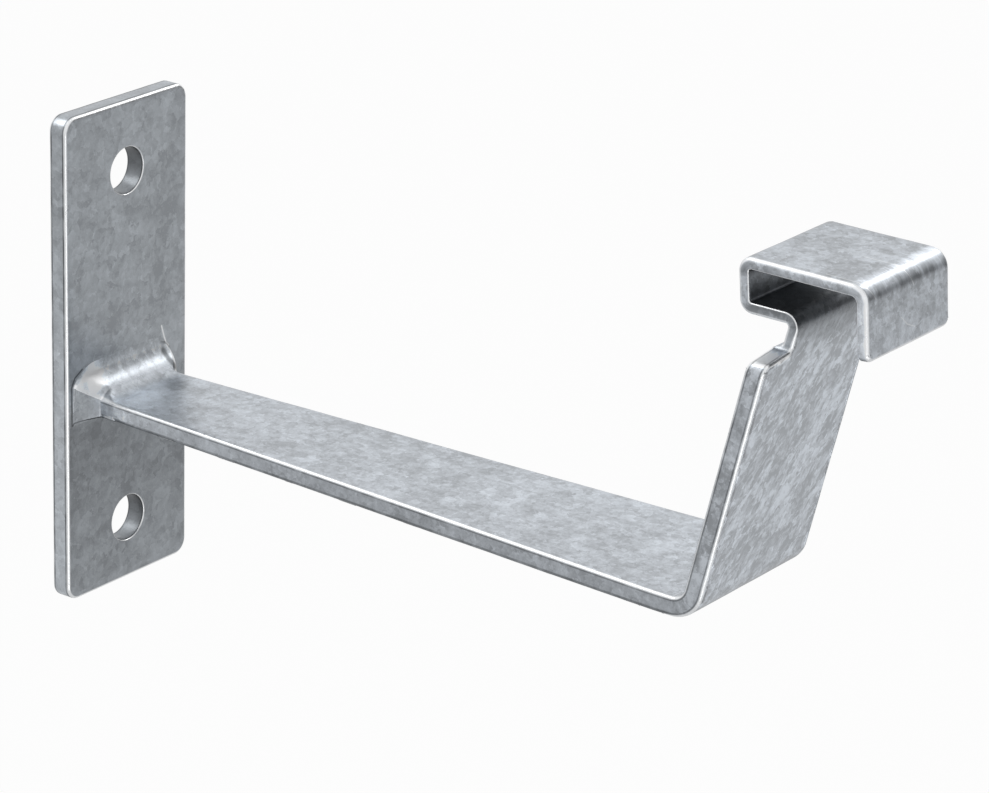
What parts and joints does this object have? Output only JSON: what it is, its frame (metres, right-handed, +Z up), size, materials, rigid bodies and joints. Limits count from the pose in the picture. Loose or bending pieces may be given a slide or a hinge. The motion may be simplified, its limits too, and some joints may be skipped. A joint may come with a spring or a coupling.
{
  "type": "gutter bracket",
  "caption": "Wall-fixed gutter bracket: drilled wall plate, welded flat arm under the gutter, leaning upstand and an open folded hook for the gutter's front edge.",
  "frame": {"origin": "on the wall plate's back face, midway between its two fixing holes", "axes": "+X out of the wall along the arm, +Y along the gutter, +Z up"},
  "size_m": [0.2016, 0.04, 0.1181],
  "materials": {
    "plate_zinc": "hot-dip galvanised, dull spangle",
    "strap_zinc": "hot-dip galvanised, dull spangle",
    "weld_zinc": "hot-dip galvanised, smooth"
  },
  "bodies": {
    "root": {"wall_plate": "plate_zinc", "hook_strap": "strap_zinc", "root_weld": "weld_zinc"}
  },
  "joints": []
}
